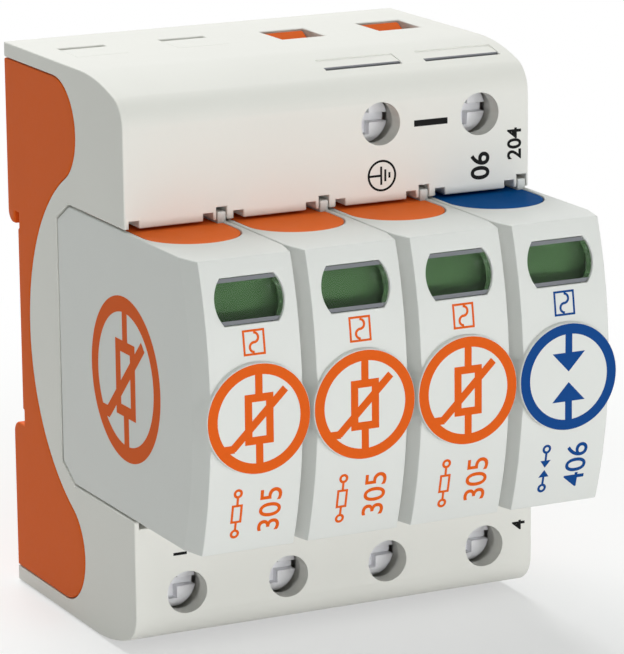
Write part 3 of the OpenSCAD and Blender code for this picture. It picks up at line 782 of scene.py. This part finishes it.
def schematic(pole):
    """A column of two terminals with the pole's arrester between them."""
    end, hole, rim = 3.3, 0.35, 0.75
    line, lead_low, lead_high = 0.36, 1.35, 2.6
    half, tall, tip, gap = 0.9, 1.5, 1.4, 0.2
    shape = ring_shape(0, -end, hole, rim) + ring_shape(0, end, hole, rim)
    shape += box_shape(-line / 2, line / 2, -lead_high, -lead_low)
    shape += box_shape(-line / 2, line / 2, lead_low, lead_high)
    if pole == LAST_POLE:
        return shape + [[(-half, -tip), (half, -tip), (0, -gap)], [(half, tip), (-half, tip), (0, gap)]]
    return shape + frame_shape(-half, half, -tall, tall, line)


# Cartridge prints: the sign on the disc and on the side, the mark under the window and the row below
DISC_R, DISC_LINE = 8.35, 1.2
SIDE_R, SIDE_LINE = 13, 1.8
SIDE_Y, SIDE_Z = -42 * MM, -0.7 * MM
MARK_HALF, MARK_LOW, MARK_HIGH, MARK_LINE = 1.8, 8.3, 12.1, 0.32
MARK_Z, WAVE_R, WAVE_LINE = 10.2, 0.72, 0.36
ROW_Z, COLUMN_X = -16.0, -2.7
CODE_X, CODE_HEIGHT, CODE_WEIGHT = 3.0, 3.7, 0.03


def print_cartridge(pole):
    body = "cartridge_%d" % pole
    x = pole_x(pole)
    material = BLUE_INK if pole == LAST_POLE else ORANGE_INK
    sign = spark_gap_sign if pole == LAST_POLE else varistor_sign
    drum = on_drum(x)
    disc = moved(sign(DISC_R, DISC_LINE), 0, -GRIP_DROP / MM)
    printed("disc_print_%d" % pole, merged(disc), on_front(x, GRIP_FACE), body, material)
    left = on_left(x - CELL_HALF, SIDE_Y, SIDE_Z)
    printed("side_print_%d" % pole, merged(sign(SIDE_R, SIDE_LINE)), left, body, material)
    border = frame_shape(-MARK_HALF, MARK_HALF, MARK_LOW, MARK_HIGH, MARK_LINE)
    mark = merged(border + moved(wave_shape(WAVE_R, WAVE_R, WAVE_LINE), 0, MARK_Z))
    printed("mark_print_%d" % pole, mark, drum, body, material, bent=True)
    code = "406" if pole == LAST_POLE else "305"
    column = merged(moved(schematic(pole), COLUMN_X, ROW_Z))
    row = column + digits(code, CODE_HEIGHT, CODE_X, ROW_Z, CODE_WEIGHT)
    printed("row_print_%d" % pole, row, drum, body, material, bent=True)


def earth_sign(x, z):
    """Earth sign in a ring, a quarter turn from upright."""
    inner, outer = 2.15, 2.5
    lead, bars, pitch = 2.2, 0.3, 0.72
    lead_half, bar_line = 0.18, 0.34
    shape = ring_shape(x, z, inner, outer)
    shape += box_shape(x - lead, x - bars, z - lead_half, z + lead_half)
    for step, half in enumerate((1.45, 0.95, 0.45)):
        left = x - bars + pitch * step
        shape += box_shape(left, left + bar_line, z - half, z + half)
    return shape


# Base prints: a bar's box, and for digits their height, x, z and weight
BAR = (14.6, 20.5, 34.2, 35.2)
EARTH_PLACE = (8.9, 27.0)
UPPER_CODE = (3.3, 26.5, 26.9, 0.09)
RIM_CODE = (2.5, 32.6, 29.9, 0.07)
NUMBER_HEIGHT, NUMBER_ASIDE, NUMBER_Z, NUMBER_WEIGHT = 2.3, -1.0, -28.8, 0.07
LAST_NUMBER = (NUMBER_HEIGHT, 32.7, -32.5, NUMBER_WEIGHT)


def print_base():
    upper = on_front(0, UPPER_FRONT)
    lower = on_front(0, LOWER_FRONT)
    signs = merged(box_shape(*BAR) + earth_sign(*EARTH_PLACE))
    signs += digits("06", *UPPER_CODE) + digits("204", *RIM_CODE)
    printed("upper_print", signs, upper, "base", BLACK_INK)
    numbers = digits("%d" % LAST_POLE, *LAST_NUMBER)
    for pole in POLES[:-1]:
        x = pole_x(pole) / MM + NUMBER_ASIDE
        numbers += digits("%d" % pole, NUMBER_HEIGHT, x, NUMBER_Z, NUMBER_WEIGHT)
    printed("lower_print", numbers, lower, "base", BLACK_INK)


for pole in POLES:
    print_cartridge(pole)
print_base()


# Stage, light and camera

FLOOR_Z = cad_low.z - 0.2 * MM
FLOOR_R = 3.0
FADE_FROM, FADE_TO = 0.08, 0.2
NEAR_GLOW = 0.5  # share of plain white in the floor beside the object
WHITE = (1, 1, 1, 1)
OBJECT_MIDDLE = Vector((0, -30 * MM, 0))
LOW_MIDDLE = OBJECT_MIDDLE + Vector((0, 0, -20 * MM))
SOFT_BOX = (0.7, 0.7)
SENSOR = 36


def add_floor():
    """White floor that keeps the shadow near the object and fades into the backdrop.

    It bounces less light than it shows.
    """
    bpy.ops.mesh.primitive_circle_add(vertices=96, radius=FLOOR_R, fill_type="NGON", location=(0, 0, FLOOR_Z))
    floor = bpy.context.object
    floor.name = "floor"
    material, tree = node_tree("floor_white")
    seen_matte = add(tree, "BsdfDiffuse", Color=(0.9, 0.9, 0.9, 1))
    lit_matte = add(tree, "BsdfDiffuse", Color=(0.78, 0.78, 0.78, 1))
    glow = add(tree, "Emission", Color=WHITE, Strength=1.0)
    place = tree.nodes.new("ShaderNodeTexCoord")
    length = tree.nodes.new("ShaderNodeVectorMath")
    length.operation = "LENGTH"
    tree.links.new(place.outputs["Object"], length.inputs[0])
    fade = add(tree, "MapRange", From_Min=FADE_FROM, From_Max=FADE_TO, To_Min=NEAR_GLOW)
    fade.interpolation_type = "SMOOTHSTEP"
    tree.links.new(length.outputs["Value"], fade.inputs["Value"])
    shown = tree.nodes.new("ShaderNodeMixShader")
    tree.links.new(fade.outputs["Result"], shown.inputs[0])
    tree.links.new(seen_matte.outputs["BSDF"], shown.inputs[1])
    tree.links.new(glow.outputs["Emission"], shown.inputs[2])
    pick = tree.nodes.new("ShaderNodeMixShader")
    tree.links.new(seen_rays(tree), pick.inputs[0])
    tree.links.new(lit_matte.outputs["BSDF"], pick.inputs[1])
    tree.links.new(shown.outputs["Shader"], pick.inputs[2])
    surface(tree, pick.outputs["Shader"])
    floor.data.materials.append(material)


def add_world(colour, strength):
    """Dim light from all round, and a white backdrop where it is seen."""
    world = bpy.data.worlds.new("studio")
    world.use_nodes = True
    bpy.context.scene.world = world
    tree = world.node_tree
    tree.nodes.clear()
    ambient = add(tree, "Background", Color=(*colour, 1), Strength=strength)
    backdrop = add(tree, "Background", Color=WHITE, Strength=1.0)
    pick = tree.nodes.new("ShaderNodeMixShader")
    tree.links.new(seen_rays(tree), pick.inputs[0])
    tree.links.new(ambient.outputs["Background"], pick.inputs[1])
    tree.links.new(backdrop.outputs["Background"], pick.inputs[2])
    out = add(tree, "OutputWorld")
    tree.links.new(pick.outputs["Shader"], out.inputs["Surface"])


def add_lamp(name, place, target, size, power):
    """A soft box of a width and a height, turned to its target."""
    lamp = bpy.data.lights.new(name, "AREA")
    lamp.shape = "RECTANGLE"
    lamp.size, lamp.size_y = size
    lamp.energy = power
    holder = bpy.data.objects.new(name, lamp)
    bpy.context.scene.collection.objects.link(holder)
    holder.location = place
    holder.rotation_euler = (target - Vector(place)).to_track_quat("-Z", "Y").to_euler()


def add_camera(yaw, pitch, roll, target, distance, focal_px, image_height):
    """A camera that looks at a point beside the object's middle. The sensor spans the picture's height."""
    ahead = Vector((math.sin(yaw) * math.cos(pitch), math.cos(yaw) * math.cos(pitch), -math.sin(pitch)))
    level = Vector((math.cos(yaw), -math.sin(yaw), 0))
    upright = level.cross(ahead)
    right = math.cos(roll) * level + math.sin(roll) * upright
    up = right.cross(ahead)
    centre = OBJECT_MIDDLE + right * target[0] + up * target[1]
    data = bpy.data.cameras.new("camera")
    data.sensor_width = SENSOR
    data.lens = focal_px * SENSOR / image_height
    data.clip_start = 0.05
    data.clip_end = 20
    camera = bpy.data.objects.new("camera", data)
    bpy.context.scene.collection.objects.link(camera)
    turn = Matrix((right, up, -ahead)).transposed().to_4x4()
    camera.matrix_world = Matrix.Translation(centre - ahead * distance) @ turn
    bpy.context.scene.camera = camera


add_floor()
add_world((0.88, 1.0, 0.92), 0.2)
add_lamp("low_front", (0.1, -1.0, -0.01), LOW_MIDDLE, (1.2, 0.06), power=4.75)
add_lamp("left_front", (-0.42, -1.0, 0.09), OBJECT_MIDDLE, (0.9, 0.24), power=1.0)
add_lamp("upper_front", (0.0, -0.8, 0.8), OBJECT_MIDDLE, SOFT_BOX, power=1.3)
add_lamp("top", (0.0, 0.25, 1.0), OBJECT_MIDDLE, SOFT_BOX, power=3.9)
add_lamp("rear_top", (0.0, 0.8, 0.9), OBJECT_MIDDLE, SOFT_BOX, power=9.0)
add_camera(
    yaw=math.radians(26.23),
    pitch=math.radians(13.55),
    roll=math.radians(-0.57),
    target=(2.6 * MM, 1.0 * MM),
    distance=622 * MM,
    focal_px=3905,
    image_height=654,
)
bpy.context.scene.view_settings.view_transform = "Standard"
